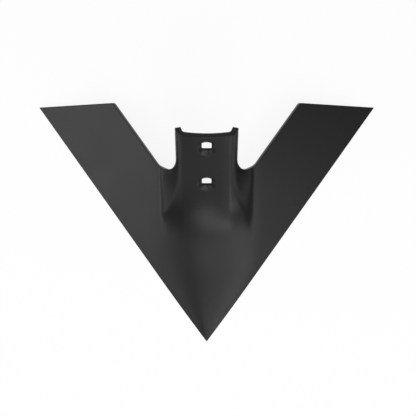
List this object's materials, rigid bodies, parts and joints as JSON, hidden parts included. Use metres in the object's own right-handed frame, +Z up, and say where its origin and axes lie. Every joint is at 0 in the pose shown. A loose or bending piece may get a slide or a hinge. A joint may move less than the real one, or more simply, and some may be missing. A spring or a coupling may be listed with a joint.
{
  "type": "cultivator sweep",
  "caption": "V-shaped cultivator sweep pressed from steel plate, with raised wings, a pointed nose and a channelled stem with countersunk square bolt holes.",
  "frame": {"origin": "middle of the part's box, on the ground under the cutting edges", "axes": "+X across the wings, +Y back from the point, against the direction of travel, +Z up"},
  "size_m": [0.38, 0.2638, 0.1104],
  "materials": {
    "black_paint": "semi-gloss black paint on pressed steel"
  },
  "bodies": {
    "root": {"sweep": "black_paint"}
  },
  "joints": []
}
